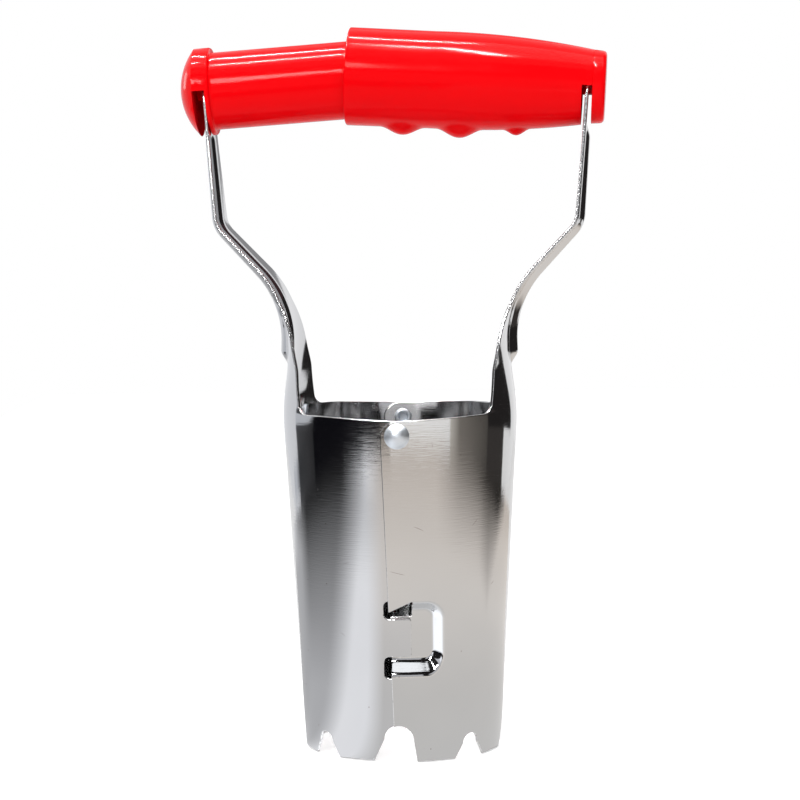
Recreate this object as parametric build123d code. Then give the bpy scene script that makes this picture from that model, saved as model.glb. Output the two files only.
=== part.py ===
from build123d import *
import math
import os

# Seedling transplanter: a barrel of two sheet-steel half-shells that turn on two rivets.
# Squeezing the telescopic handle spreads the toothed end, and the soil plug drops out.
# Millimetres, +Z up. The origin is on the barrel's axis at the tips of the teeth.
# The two rivets share one axis parallel to Y. The handle runs along X, a little turned with the arms.

# Barrel
rim_height = 101.0          # tips of the teeth to the rim beside the arms
rim_dip = 1.0               # the rim is this much lower at the rivets
rim_radius = 35.0           # outside, at the rim
tooth_radius = 29.3         # outside, at the tips of the teeth
sheet = 1.0                 # steel thickness
lap_gap = 0.5               # play between the two sheets where they overlap
outer_lap_top = 5.1         # outer sheet's edge past the middle, at the rim
outer_lap_bottom = 1.6      # and at the teeth
inner_lap_top = 6.1         # inner sheet's edge past the middle, at the rim
inner_lap_bottom = 3.0      # and at the teeth
ear_round = 4.6             # rounding of the sheet's corner beside a rivet

# Rivets
pivot_drop = 5.3            # pivot axis below the rim beside the arms
rivet_radius = 2.0
rivet_play = 0.05           # between the rivet and the holes in the sheets
rivet_head_radius = 3.65
rivet_head_height = 1.9
rivet_roll_radius = 2.6     # rolled end inside the barrel
rivet_roll_height = 1.2
rivet_bore_radius = 1.3     # the rivet's end is a tube before it is rolled
rivet_bore_depth = 2.0
rivet_seat_gap = 0.1        # rivet's flat faces to the curved sheets

# Tongue and pocket that hold each seam together
tongue_bottom = 31.0
tongue_top = 42.2
tongue_reach = 3.45         # tongue's tip past the middle
slot_reach = 4.6            # closed end of the slots beside the tongue, before the middle
slot_bottom = 24.6
slot_top = 47.4
pocket_bottom = 25.1        # foot of the lower wall, in the barrel's surface
pocket_floor_bottom = 30.9
pocket_floor_top = 44.5
pocket_top = 46.3           # head of the upper wall, in the barrel's surface
pocket_reach = 13.2         # head of the side wall past the middle, in the barrel's surface
pocket_floor_reach = 9.9    # foot of the side wall past the middle, on the pocket's floor
tongue_gap = 0.4            # tongue to the pocket's floor

# Teeth
side_notch_turns = (-46.5, -2.0, 41.0)  # degrees about Z on the right half
side_notch_width = 11.2
side_notch_height = 7.2
side_notch_round = 2.9
seam_notch_turn = -91.0     # degrees about Z, the front seam is at -90
seam_notch_width = 12.8
seam_notch_height = 10.8
seam_notch_round = 4.4
seam_notch_lean = 1.0       # the notch's mouth is this much to one side of its top

# Arms, as offsets from the rim
arm_turn = -2.6             # degrees about Z, the arms and the handle stand turned from the rivets' square
arm_waist_in = 1.7          # the arm leans in above the rim
arm_waist_rise = 12.5
arm_elbow_in = 2.1
arm_elbow_rise = 32.4
arm_knee_rise = 54.6
arm_lean = 4.6              # degrees, upper run
arm_waist_bend = 30.0       # bend radii
arm_elbow_bend = 30.0
arm_knee_bend = 8.0
arm_foot_width = 41.5
arm_foot_round = 2.6        # fillet between the arm and the rim
arm_elbow_width = 30.0
arm_knee_width = 24.0
arm_slot_width = 18.0       # where the arm enters the grip
arm_tip_width = 12.0
arm_tip_rise = 7.0          # the tip stands above the grip's axis
arm_waist_curve = 43.0      # radius of the strip's own curve, across its width
arm_elbow_curve = 170.0
arm_knee_curve = 200.0
arm_tip_curve = 900.0
bead_start = 12.5           # rounded lower end of the stiffening bead, along the arm
bead_half_width = 4.2
bead_low_height = 2.3       # deepest at its lower end
bead_top_height = 1.3
bead_end_round = 4.0
bead_stop = 10.0            # the bead ends this far below the grip's axis

# Handle: lengths run along each grip's axis from the arm's inner face
arm_reach = 56.0            # arm's inner face from the barrel's axis
handle_rise = 94.75         # handle's axis above the rim, at the arms
sleeve_tilt = 3.25          # degrees, the sleeve rises towards the middle, and the tube rises to meet it
tube_drop = 1.2             # tube's axis below the sleeve's axis, at the sleeve's mouth
tube_end_face = 3.2         # where the end cap meets the tube's collar
sleeve_end_face = 2.0       # where the end cap meets the sleeve
tube_bulkhead_gap = 0.5     # arm's inner face to the bulkhead
sleeve_bulkhead_gap = 1.0
bulkhead = 3.0
tube_radius = 11.45
tube_wall = 2.0
tube_hidden = 13.0          # inside the sleeve
tube_step = 0.6             # the hidden end is this much slimmer
tube_step_inset = 0.8
collar_radius = 13.0
collar_front = 1.7
collar_round = 0.6
dome_height = 5.0
slide_play = 1.6            # tube to sleeve
sleeve_wall = 1.4
sleeve_length = 70.4
sleeve_middle = 45.0        # end of the curved taper
sleeve_middle_slim = 0.15   # slimmer there than at the mouth
sleeve_end_radius = 10.85
sleeve_end_bore_inset = 0.85
sleeve_crown = 1.1          # bulge of the taper
sleeve_mouth_round = 0.4
finger_bumps = ((53.6, 7.0, 2.2), (36.7, 7.0, 2.4), (19.8, 3.6, 1.7))   # place, radius, height
end_cap_length = 3.8
end_cap_draft = 0.3
end_cap_round = 1.2
peg_radius = 2.5
peg_play = 0.2              # in the arm's hole
peg_length = 5.5
socket_spare = 0.4
recess_play = 0.4           # round the arm's tip

# Return spring
spring_radius = 5.3         # to the middle of the wire
wire_radius = 0.6
spring_turns = 13
spring_end_gap = 0.5
spigot_radius = 3.4
spigot_length = 6.0

far = 200.0                 # past every surface
shell_shift = (sheet + lap_gap) / 2
pivot_height = rim_height - pivot_drop
handle_height = rim_height + handle_rise
tube_shown = 2 * arm_reach - sleeve_length
tube_end = tube_shown + tube_hidden
mouth_rise = sleeve_length * math.sin(math.radians(sleeve_tilt))
tube_tilt = math.degrees(math.asin((mouth_rise - tube_drop) / tube_shown))
sleeve_bore = tube_radius + slide_play
sleeve_mouth_radius = sleeve_bore + sleeve_wall
sleeve_middle_radius = sleeve_mouth_radius - sleeve_middle_slim
tube_inside = tube_bulkhead_gap + bulkhead
sleeve_inside = sleeve_bulkhead_gap + bulkhead


def barrel_radius(height):
    """Outside radius of the barrel at a height."""
    return tooth_radius + (rim_radius - tooth_radius) * height / rim_height


def lap(top, bottom, height):
    """A sheet edge's distance past the middle at a height."""
    return bottom + (top - bottom) * height / rim_height


def flat_face(points):
    """A face in the XZ plane from (distance, height) points."""
    return make_face(Polyline([(x, 0, z) for x, z in points], close=True))


def sector(points, start, end):
    """Points in the XZ plane turned about the barrel's axis between two angles."""
    turned = flat_face(points).rotate(Axis.Z, start)
    return revolve(turned, Axis.Z, end - start)


def round_corner(face, x, z, radius):
    """A face in the XZ plane with the corner nearest to a point rounded."""
    corner = face.vertices().sort_by_distance((x, 0, z))[0]
    return fillet(corner, radius)


def sheet_outline(top, bottom):
    """The sheet's outline in front view, with its corner rounded beside the rivet."""
    low = -far
    high = rim_height - rim_dip
    foot_turn = math.asin((arm_foot_width / 2 + arm_foot_round) / rim_radius)
    level_from = rim_radius * math.cos(foot_turn + math.radians(abs(arm_turn))) - 2 * sheet
    corner = -lap(top, bottom, high)
    face = flat_face([
        (-lap(top, bottom, low), low),
        (far, low),
        (far, rim_height),
        (level_from, rim_height),
        (0, high),
        (corner, high),
    ])
    return round_corner(face, corner, high, ear_round)


def front_angle(reach, height):
    """Angle about Z of a point on the front that lies a distance past the middle."""
    return -90 + math.degrees(math.asin(reach / barrel_radius(height)))


def pocket_solids():
    """The pocket's drawn tray, and the hollow inside it."""
    depth = 2 * sheet + lap_gap + tongue_gap
    upper_slope = math.atan2(depth, pocket_top - pocket_floor_top)
    lower_slope = math.atan2(depth, pocket_floor_bottom - pocket_bottom)
    into_wall = sheet / 2
    head = pocket_top + sheet / math.sin(upper_slope) - into_wall / math.tan(upper_slope)
    foot = pocket_bottom - sheet / math.sin(lower_slope) + into_wall / math.tan(lower_slope)
    tray = [
        (barrel_radius(head) - into_wall, head),
        (barrel_radius(pocket_floor_top) - depth - sheet,
         pocket_floor_top + sheet * math.tan(upper_slope / 2)),
        (barrel_radius(pocket_floor_bottom) - depth - sheet,
         pocket_floor_bottom - sheet * math.tan(lower_slope / 2)),
        (barrel_radius(foot) - into_wall, foot),
    ]
    hollow = [
        (barrel_radius(pocket_top), pocket_top),
        (barrel_radius(pocket_floor_top) - depth, pocket_floor_top),
        (barrel_radius(pocket_floor_bottom) - depth, pocket_floor_bottom),
        (barrel_radius(pocket_bottom), pocket_bottom),
        (far, pocket_bottom),
        (far, pocket_top),
    ]
    middle = (pocket_bottom + pocket_top) / 2
    open_side = front_angle(-2 * outer_lap_top, middle)
    past_end = front_angle(pocket_reach + 3 * sheet, middle)
    draft = (pocket_reach - pocket_floor_reach) / depth
    surface = math.sqrt(barrel_radius(middle) ** 2 - pocket_reach ** 2)

    def before_side_wall(offset):
        start = pocket_reach + offset * math.hypot(1, draft)
        outline = Polygon((-far, 0), (start - draft * surface, 0), (start + draft * surface, -2 * surface),
                          (-far, -2 * surface))
        return extrude(outline, far, dir=(0, 0, 1))

    tray = sector(tray, open_side, past_end) & before_side_wall(sheet)
    hollow = sector(hollow, open_side, past_end) & before_side_wall(0)
    return tray, hollow


def tongue_cuts():
    """What is cut from the inner sheet's edge, at the back, to free the tongue."""
    spans = [
        (tongue_bottom, tongue_top, -tongue_reach),
        (slot_bottom, tongue_bottom, slot_reach),
        (tongue_top, slot_top, slot_reach),
    ]
    cuts = []
    for low, high, reach in spans:
        outline = flat_face([(-far, low), (reach, low), (reach, high), (-far, high)])
        cuts.append(extrude(outline, far, dir=(0, 1, 0)))
    return cuts


def notch(turn, width, height, rounding, lean):
    """One round-topped notch between two teeth, as a radial prism."""
    angle = math.radians(turn)
    outwards = (math.cos(angle), math.sin(angle), 0)
    along = (-math.sin(angle), math.cos(angle), 0)
    start = -lean - width / 2
    end = -lean + width / 2
    middle = height - rounding
    outline = Polygon((start, -sheet), (end, -sheet), (end, 0), (rounding, middle),
                      (-rounding, middle), (start, 0))
    outline += Pos(0, middle) * Circle(rounding)
    return extrude(Plane((0, 0, 0), x_dir=along, z_dir=outwards) * outline, far)


def notches():
    """The notches between one half's teeth. The two at the seams are larger."""
    cuts = [notch(turn, side_notch_width, side_notch_height, side_notch_round, 0)
            for turn in side_notch_turns]
    for turn in (seam_notch_turn, seam_notch_turn + 180):
        cuts.append(notch(turn, seam_notch_width, seam_notch_height, seam_notch_round, seam_notch_lean))
    return cuts


def arm_path():
    """Middle of the arm's outer face, from the rim to the tip inside the grip."""
    lean = math.radians(arm_lean)
    knee_height = rim_height + arm_knee_rise
    on_axis = arm_reach + sheet / math.cos(lean)
    knee = on_axis - (handle_height - knee_height) * math.tan(lean)
    tip = on_axis + arm_tip_rise * math.tan(lean)
    return FilletPolyline(
        (rim_radius, 0, rim_height),
        (rim_radius - arm_waist_in, 0, rim_height + arm_waist_rise),
        (rim_radius - arm_elbow_in, 0, rim_height + arm_elbow_rise),
        (knee, 0, knee_height),
        (tip, 0, handle_height + arm_tip_rise),
        radius=[arm_waist_bend, arm_elbow_bend, arm_knee_bend],
    )


def between(value, places):
    """Straight-line reading of a list of (place, amount) pairs."""
    for (start, low), (end, high) in zip(places, places[1:]):
        if value <= end:
            return low + (high - low) * max(0.0, (value - start) / (end - start))
    return places[-1][1]


def arm_section(point, run, width, curve, bead, bead_height):
    """Cross-section of the arm: a curved strip with a bead pressed outwards in its middle."""
    outwards = Vector(run.Z, 0, -run.X)
    centre = point - outwards * curve
    bead_half = bead_half_width * (0.3 + 0.7 * bead)
    flank = (width / 2 + bead_half) / 2

    def place(across, inset):
        turn = math.asin(across / curve)
        return centre + (outwards * math.cos(turn) + Vector(0, math.sin(turn), 0)) * (curve - inset)

    def side(inset, sign):
        top = point + outwards * (bead_height * bead - inset)
        spots = [place(sign * across, inset) for across in
                 (-width / 2, -flank, -bead_half, bead_half, flank, width / 2)]
        return [ThreePointArc(spots[0], spots[1], spots[2]),
                ThreePointArc(spots[2], top, spots[3]),
                ThreePointArc(spots[3], spots[4], spots[5])]

    outer = side(0, 1)
    inner = side(sheet, -1)
    far_edge = Line(outer[-1] @ 1, inner[0] @ 0)
    near_edge = Line(inner[-1] @ 1, outer[0] @ 0)
    return make_face(Wire(outer + [far_edge] + inner + [near_edge]))


def arm():
    """One arm, lofted along its path from the rim to its tip."""
    path = arm_path()
    length = path.length
    lean = math.radians(arm_lean)
    axis_place = length - arm_tip_rise / math.cos(lean)
    slot_place = axis_place - collar_radius
    bead_end = axis_place - bead_stop
    runs = path.edges()
    ends = [sum(edge.length for edge in runs[:count + 1]) for count in range(len(runs))]
    waist, elbow, knee = [ends[2 * bend] + runs[2 * bend + 1].length / 2 for bend in range(3)]
    widths = [(0, arm_foot_width), (elbow, arm_elbow_width), (knee, arm_knee_width),
              (slot_place, arm_slot_width), (axis_place, arm_slot_width), (length, arm_tip_width)]
    bends = [(0, 1 / rim_radius), (waist, 1 / arm_waist_curve), (elbow, 1 / arm_elbow_curve),
             (knee, 1 / arm_knee_curve), (slot_place, 1 / arm_tip_curve), (length, 1 / arm_tip_curve)]

    stations = [0.0, slot_place, axis_place, length]
    start = 0.0
    for edge in runs:
        steps = 6 if edge.geom_type == GeomType.CIRCLE else 4
        stations += [start + edge.length * step / steps for step in range(1, steps + 1)]
        start += edge.length
    stations += [arm_foot_round * (1 - math.cos(math.radians(turn))) for turn in (35, 55, 72, 90)]
    for share in (0, 0.08, 0.3, 0.6, 1):
        stations += [bead_start + bead_end_round * share, bead_end - bead_end_round * share]
    stations.sort()
    least_step = 0.3
    kept = [0.0]
    for station in stations:
        if station - kept[-1] > least_step and length - station > least_step:
            kept.append(station)
    kept.append(length)

    sections = []
    for station in kept:
        point = path.position_at(station / length)
        run = path.tangent_at(station / length) if station > waist else Vector(0, 0, 1)
        flare = max(0.0, arm_foot_round - station)
        fillet_width = arm_foot_round - math.sqrt(arm_foot_round ** 2 - flare ** 2)
        into_bead = min(station - bead_start, bead_end - station) / bead_end_round
        bead = math.sqrt(1 - (1 - min(1.0, max(0.0, into_bead))) ** 2)
        width = between(station, widths) + 2 * fillet_width
        bead_height = between(station, [(bead_start, bead_low_height), (bead_end, bead_top_height)])
        sections.append(arm_section(point, run, width, 1 / between(station, bends), bead, bead_height))
    return loft(sections, ruled=True)


def half_shell():
    """The right half: outer sheet at the front seam, inner sheet at the back seam."""
    wall = sector([
        (tooth_radius, 0),
        (rim_radius, rim_height),
        (rim_radius - sheet, rim_height),
        (tooth_radius - sheet, 0),
    ], -120, 120)
    tray, hollow = pocket_solids()
    front = extrude(sheet_outline(outer_lap_top, outer_lap_bottom), far, dir=(0, -1, 0))
    back = extrude(sheet_outline(inner_lap_top, inner_lap_bottom), far, dir=(0, 1, 0))
    shell = (wall + tray - hollow) & (front + back)
    for cut in tongue_cuts() + notches():
        shell -= cut
    shell += arm().rotate(Axis.Z, arm_turn)
    rivet_hole = Cylinder(rivet_radius + rivet_play, 2 * far, rotation=(90, 0, 0))
    shell -= Pos(0, 0, pivot_height) * rivet_hole
    grip_axis = Plane((arm_reach, 0, handle_height), z_dir=(1, 0, 0))
    peg_hole = grip_axis * Cylinder(peg_radius + peg_play, 4 * arm_tip_rise)
    shell -= peg_hole.rotate(Axis.Z, arm_turn)
    return Pos(0, -shell_shift, 0) * shell


def rivet(side):
    """A semi-tubular rivet: domed head outside, rolled end inside. Side is -1 at the front."""
    head_seat = barrel_radius(pivot_height + rivet_head_radius) + shell_shift
    low_bore = barrel_radius(pivot_height - rivet_roll_radius) - sheet
    roll_seat = math.sqrt(low_bore ** 2 - rivet_roll_radius ** 2) - shell_shift - rivet_seat_gap
    roll_round = (rivet_roll_radius - rivet_bore_radius) / 2
    roll_end = roll_seat - rivet_roll_height
    dome_radius = (rivet_head_radius ** 2 + rivet_head_height ** 2) / (2 * rivet_head_height)
    dome_turn = math.asin(rivet_head_radius / dome_radius) / 2
    dome_top = head_seat + rivet_head_height
    dome_side = (dome_radius * math.sin(dome_turn), 0,
                 dome_top - dome_radius * (1 - math.cos(dome_turn)))
    outline = [
        ThreePointArc((0, 0, dome_top), dome_side, (rivet_head_radius, 0, head_seat)),
        Polyline((rivet_head_radius, 0, head_seat), (rivet_radius, 0, head_seat),
                 (rivet_radius, 0, roll_seat), (rivet_roll_radius, 0, roll_seat),
                 (rivet_roll_radius, 0, roll_end + roll_round)),
        ThreePointArc((rivet_roll_radius, 0, roll_end + roll_round),
                      (rivet_bore_radius + roll_round, 0, roll_end),
                      (rivet_bore_radius, 0, roll_end + roll_round)),
        Polyline((rivet_bore_radius, 0, roll_end + roll_round),
                 (rivet_bore_radius, 0, roll_end + rivet_bore_depth),
                 (0, 0, roll_end + rivet_bore_depth), (0, 0, dome_top)),
    ]
    turned = revolve(make_face(outline), Axis.Z)
    return Plane((0, 0, pivot_height), x_dir=(1, 0, 0), z_dir=(0, side, 0)) * turned


def grip_plane(side, tilt):
    """A grip's own frame: X up, Z along its axis towards the middle. Side is -1 on the left."""
    turn = math.radians(arm_turn)
    at_arm = Vector(side * arm_reach * math.cos(turn), side * (arm_reach * math.sin(turn) - shell_shift),
                    handle_height)
    level = Vector(-at_arm.X, -at_arm.Y, 0).normalized()
    rise = math.sin(math.radians(tilt))
    run = math.cos(math.radians(tilt))
    upwards = Vector(0, 0, 1)
    return Plane(at_arm, x_dir=upwards * run - level * rise, z_dir=level * run + upwards * rise)


tube_frame = grip_plane(-1, tube_tilt)
sleeve_frame = grip_plane(1, sleeve_tilt)


def arm_recess(end_face, bulkhead_gap):
    """The recess in a grip's end that takes the arm: open below the axis, a pocket above it."""
    depth = end_face + bulkhead_gap
    low_half = Box(far, far, depth, align=(Align.MAX, Align.CENTER, Align.MIN))
    half = arm_slot_width / 2 + recess_play
    tip_half = arm_tip_width / 2 + recess_play
    high = arm_tip_rise + recess_play
    pocket = Polygon((0, -half), (high, -tip_half), (high, tip_half), (0, half))
    recess = low_half + extrude(pocket, depth, dir=(0, 0, 1))
    return Pos(0, 0, -end_face) * recess


def peg_socket():
    """The hole in a bulkhead and spigot that holds the end cap's peg."""
    depth = peg_length + socket_spare
    return Cylinder(peg_radius, depth, align=(Align.CENTER, Align.CENTER, Align.MIN))


def left_grip():
    """The tube: a collar at the arm, and a slimmer end hidden in the sleeve."""
    bore = tube_radius - tube_wall
    slim = tube_radius - tube_step
    step = tube_shown + tube_step_inset
    profile = flat_face([
        (0, -tube_end_face),
        (collar_radius, -tube_end_face),
        (collar_radius, collar_front),
        (tube_radius, collar_front),
        (tube_radius, step),
        (slim, step),
        (slim, tube_end),
        (bore, tube_end),
        (bore, tube_inside),
        (spigot_radius, tube_inside),
        (spigot_radius, tube_inside + spigot_length),
        (0, tube_inside + spigot_length),
    ])
    profile = round_corner(profile, collar_radius, collar_front, collar_round)
    grip = revolve(profile, Axis.Z) - arm_recess(tube_end_face, tube_bulkhead_gap) - peg_socket()
    return tube_frame * grip


def sleeve_radius(place):
    """Outside radius of the sleeve at a place along its axis."""
    if place > sleeve_middle:
        share = (place - sleeve_middle) / (sleeve_length - sleeve_middle)
        return sleeve_middle_radius + sleeve_middle_slim * share
    share = (place + sleeve_end_face) / (sleeve_middle + sleeve_end_face)
    straight = sleeve_end_radius + (sleeve_middle_radius - sleeve_end_radius) * share
    return straight + 4 * sleeve_crown * share * (1 - share)


def right_grip():
    """The sleeve: widest at its mouth, with finger bumps below, tapering to the arm."""
    taper_middle = (sleeve_middle - sleeve_end_face) / 2
    taper = ThreePointArc((sleeve_end_radius, 0, -sleeve_end_face),
                          (sleeve_radius(taper_middle), 0, taper_middle),
                          (sleeve_middle_radius, 0, sleeve_middle))
    rest = Polyline((sleeve_middle_radius, 0, sleeve_middle), (sleeve_mouth_radius, 0, sleeve_length),
                    (0, 0, sleeve_length), (0, 0, -sleeve_end_face), (sleeve_end_radius, 0, -sleeve_end_face))
    profile = round_corner(make_face([taper, rest]), sleeve_mouth_radius, sleeve_length,
                           sleeve_mouth_round)
    grip = revolve(profile, Axis.Z)
    for place, radius, height in finger_bumps:
        below = sleeve_radius(place) + height - radius
        grip += Pos(-below, 0, place) * Sphere(radius)
    bore = flat_face([
        (spigot_radius, sleeve_inside),
        (sleeve_end_radius - sleeve_end_bore_inset, sleeve_inside),
        (sleeve_middle_radius - sleeve_wall, sleeve_middle),
        (sleeve_bore, sleeve_length),
        (0, sleeve_length),
        (0, sleeve_inside + spigot_length),
        (spigot_radius, sleeve_inside + spigot_length),
    ])
    grip = grip - revolve(bore, Axis.Z) - arm_recess(sleeve_end_face, sleeve_bulkhead_gap) - peg_socket()
    return sleeve_frame * grip


def peg(end_face):
    """The end cap's peg, through the arm's hole into the bulkhead."""
    length = end_face + peg_length
    return Pos(0, 0, -end_face) * Cylinder(peg_radius, length, align=(Align.CENTER, Align.CENTER, Align.MIN))


def left_end_cap():
    """A shallow dome on the collar's end."""
    radius = (collar_radius ** 2 + dome_height ** 2) / (2 * dome_height)
    turn = math.asin(collar_radius / radius) / 2
    top = -tube_end_face - dome_height
    side = (radius * math.sin(turn), 0, top + radius * (1 - math.cos(turn)))
    dome = ThreePointArc((0, 0, top), side, (collar_radius, 0, -tube_end_face))
    rest = Polyline((collar_radius, 0, -tube_end_face), (0, 0, -tube_end_face), (0, 0, top))
    return tube_frame * (revolve(make_face([dome, rest]), Axis.Z) + peg(tube_end_face))


def right_end_cap():
    """A short plug that carries the sleeve's taper on to a rounded end."""
    top = -sleeve_end_face - end_cap_length
    slim = sleeve_end_radius - end_cap_draft
    profile = flat_face([(0, top), (slim, top), (sleeve_end_radius, -sleeve_end_face), (0, -sleeve_end_face)])
    profile = round_corner(profile, slim, top, end_cap_round)
    return sleeve_frame * (revolve(profile, Axis.Z) + peg(sleeve_end_face))


def tangent_pair(start, start_run, end, end_run):
    """Two arcs that leave one point and reach another along given directions."""
    span = end - start
    both = start_run + end_run
    a = 2 * (1 - start_run.dot(end_run))
    b = 2 * span.dot(both)
    c = -span.dot(span)
    reach = (-b + math.sqrt(b * b - 4 * a * c)) / (2 * a)
    joint = (start + start_run * reach + end - end_run * reach) * 0.5
    first = Edge.make_tangent_arc(start, start_run, joint)
    return [first, Edge.make_tangent_arc(joint, first % 1, end)]


def return_spring():
    """A compression spring between the two bulkheads, as one unbroken wire. It bends with the handle."""
    left_seat = tube_frame.from_local_coords(Vector(0, 0, tube_inside + spring_end_gap + wire_radius))
    right_seat = sleeve_frame.from_local_coords(Vector(0, 0, sleeve_inside + spring_end_gap + wire_radius))
    length = (right_seat - left_seat).length
    leave = tube_frame.z_dir * length
    arrive = sleeve_frame.z_dir * -length

    def axis_point(share):
        rest = 1 - share
        near = left_seat * (rest * rest * (1 + 2 * share)) + leave * (share * rest * rest)
        return near + right_seat * (share * share * (1 + 2 * rest)) - arrive * (share * share * rest)

    def wire_point(turn):
        share = turn / (2 * math.pi * spring_turns)
        axis = (axis_point(share + 0.001) - axis_point(share - 0.001)).normalized()
        level = Vector(0, 0, 1).cross(axis).normalized()
        around = level * math.cos(turn) + axis.cross(level) * math.sin(turn)
        return axis_point(share) + around * spring_radius

    def wire_run(turn):
        return (wire_point(turn + 0.001) - wire_point(turn - 0.001)).normalized()

    arcs = []
    for half_turn in range(2 * spring_turns):
        start = half_turn * math.pi
        end = start + math.pi
        arcs += tangent_pair(wire_point(start), wire_run(start), wire_point(end), wire_run(end))
    print("spring: gap between turns", round(length / spring_turns - 2 * wire_radius, 2))
    section = Plane(wire_point(0), z_dir=wire_run(0)) * Circle(wire_radius)
    return sweep(section, path=Wire(arcs))


right_shell = half_shell()
nodes = {
    "right_half_shell": right_shell,
    "left_half_shell": Rot(0, 0, 180) * right_shell,
    "front_pivot_rivet": rivet(-1),
    "rear_pivot_rivet": rivet(1),
    "left_grip": left_grip(),
    "right_grip": right_grip(),
    "left_end_cap": left_end_cap(),
    "right_end_cap": right_end_cap(),
    "return_spring": return_spring(),
}

os.makedirs("parts", exist_ok=True)
for name, solid in nodes.items():
    export_step(solid, f"parts/{name}.step")
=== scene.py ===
from math import acos, asin, atan2, ceil, cos, hypot, pi, radians, sin, sqrt, tan

import bpy
import numpy as np
from mathutils import Matrix, Vector
from mathutils.geometry import delaunay_2d_cdt
from mathutils.kdtree import KDTree


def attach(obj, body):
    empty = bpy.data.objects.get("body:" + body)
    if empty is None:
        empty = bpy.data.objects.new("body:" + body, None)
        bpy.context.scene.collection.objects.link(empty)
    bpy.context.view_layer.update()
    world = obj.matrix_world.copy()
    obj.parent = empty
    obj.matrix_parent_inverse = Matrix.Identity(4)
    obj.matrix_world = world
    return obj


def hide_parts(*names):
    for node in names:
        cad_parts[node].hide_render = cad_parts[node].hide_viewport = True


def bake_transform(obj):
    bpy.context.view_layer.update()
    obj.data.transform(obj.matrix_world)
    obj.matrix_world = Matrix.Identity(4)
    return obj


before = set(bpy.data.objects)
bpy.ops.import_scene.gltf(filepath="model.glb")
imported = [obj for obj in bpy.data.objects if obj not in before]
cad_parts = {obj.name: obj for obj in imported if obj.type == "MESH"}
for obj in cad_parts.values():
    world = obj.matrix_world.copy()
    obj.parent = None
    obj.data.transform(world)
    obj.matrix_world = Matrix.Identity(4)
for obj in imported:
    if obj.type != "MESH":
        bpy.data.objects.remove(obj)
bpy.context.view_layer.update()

# Half-shells. One stamping, used twice: 1 mm sheet steel punched from a flat blank, drawn inwards at the
# lock, rolled to half a barrel and bent along the arm, then plated over its brush marks.
# The left half is the right half turned half a turn about the barrel's axis.
MM = 0.001      # sizes are in millimetres, and meshes in metres
rim_height, rim_dip = 101.0, 1.0
rim_radius, tooth_radius = 35.0, 29.3
sheet, shell_shift, edge_round = 1.0, 0.75, 0.28
outer_lap, inner_lap = (1.6, 5.1), (3.0, 6.1)      # sheet's edge past the middle, at the teeth and at the rim
ear_round = 4.6
pivot_height, rivet_hole, peg_hole = 95.7, 2.05, 2.7

tongue_low, tongue_high, tongue_reach = 31.0, 42.2, 3.45
slot_low, slot_high, slot_reach, slot_round = 24.6, 47.4, 4.6, 1.5
pocket_low, pocket_floor_low = 25.1, 30.9
pocket_high, pocket_floor_high = 47.6, 44.6
pocket_reach, pocket_floor_reach = 13.3, 10.0
pocket_full, pocket_corner = 2.9, 2.2
draw_bend = 0.28        # share of the pocket's side that is curved, at its lip and again at its floor
flap_low, flap_reach, flap_gap, flap_run = 44.3, 3.9, 42.7, 7.0    # a lip is left flat above the pocket

side_notch_turns, seam_notch_turns = (-46.5, -2.0, 41.0), (-91.0, 89.0)
side_notch = (11.2, 7.2, 2.9, 0.0)      # width, height, round, lean
seam_notch = (12.8, 10.8, 4.4, 1.0)
outer_notch_edge, inner_notch_edge = 1.46, 3.8      # where the sheet's edges end in the seam notches

arm_turn = radians(-2.6)           # the arms and the handle stand turned from the rivets' square
arm_lean = radians(4.6)
arm_reach, handle_height, tip_rise, tip_round = 56.0, 195.75, 7.0, 2.0
waist_in, waist_rise = 1.7, 12.5
elbow_in, elbow_rise = 2.1, 32.4
knee_height = 155.6
arm_bends = (60.0, 30.0, 30.0, 8.0)     # at the rim, waist, elbow and knee
foot_round, foot_half, foot_fade, foot_blend = 2.6, 20.75, 0.2, 16.0
grip_entry = 13.0
bead_start, bead_end_round, bead_stop = 12.5, 5.0, 10.0
bead_half, bead_low_height, bead_top_height, bead_nose = 5.2, 2.3, 1.3, 0.4
blank_radius = 32.0     # the blank's width is measured round a barrel of this radius


def barrel_radius(height):
    return tooth_radius + (rim_radius - tooth_radius) * height / rim_height


def eased(share):
    share = np.clip(share, 0.0, 1.0)
    return share * share * (3 - 2 * share)


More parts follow.
